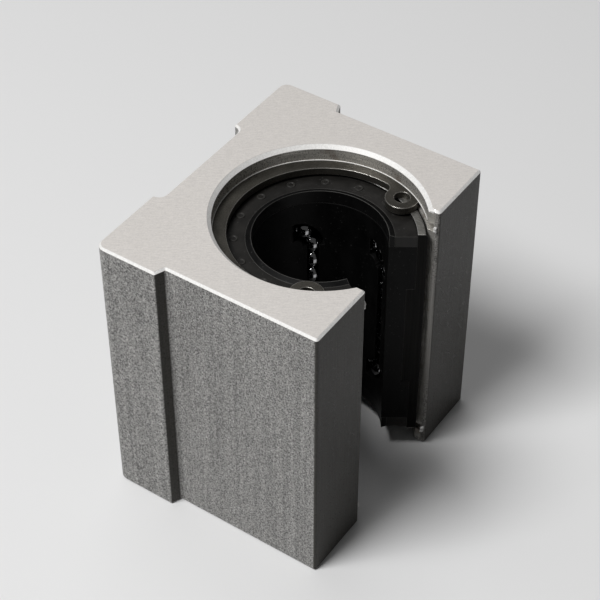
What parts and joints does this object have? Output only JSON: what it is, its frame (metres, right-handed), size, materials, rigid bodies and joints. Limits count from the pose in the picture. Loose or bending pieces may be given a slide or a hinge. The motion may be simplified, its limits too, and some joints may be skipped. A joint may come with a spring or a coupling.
{
  "type": "linear bearing block",
  "caption": "Open linear ball-bearing block: a slotted, flanged aluminium housing around an open ball bushing held by internal retaining rings, for a supported round shaft.",
  "frame": {"origin": "on the shaft's axis, at the middle of the block's length", "axes": "+Z along the shaft, +Y from the open slot to the mounting face, +X across the block"},
  "size_m": [0.048, 0.0374, 0.05],
  "materials": {
    "housing_aluminium": "extruded and blasted, machined ends",
    "sleeve_steel": "ground bearing steel",
    "ring_steel": "phosphated spring steel",
    "ball_steel": "polished",
    "screw_steel": "black oxide",
    "retainer_resin": "moulded black resin",
    "seal_rubber": "matte"
  },
  "bodies": {
    "root": {"housing_block": "housing_aluminium", "set_screw": "screw_steel", "outer_sleeve": "sleeve_steel", "ball_retainer": "retainer_resin", "end_ring_front": "retainer_resin", "end_ring_rear": "retainer_resin", "shaft_seal_front": "seal_rubber", "shaft_seal_rear": "seal_rubber", "retaining_ring_front": "ring_steel", "retaining_ring_rear": "ring_steel", "loaded_balls_1": "ball_steel", "returning_balls_1": "ball_steel", "loaded_balls_2": "ball_steel", "returning_balls_2": "ball_steel", "loaded_balls_3": "ball_steel", "returning_balls_3": "ball_steel", "loaded_balls_4": "ball_steel", "returning_balls_4": "ball_steel"}
  },
  "joints": []
}
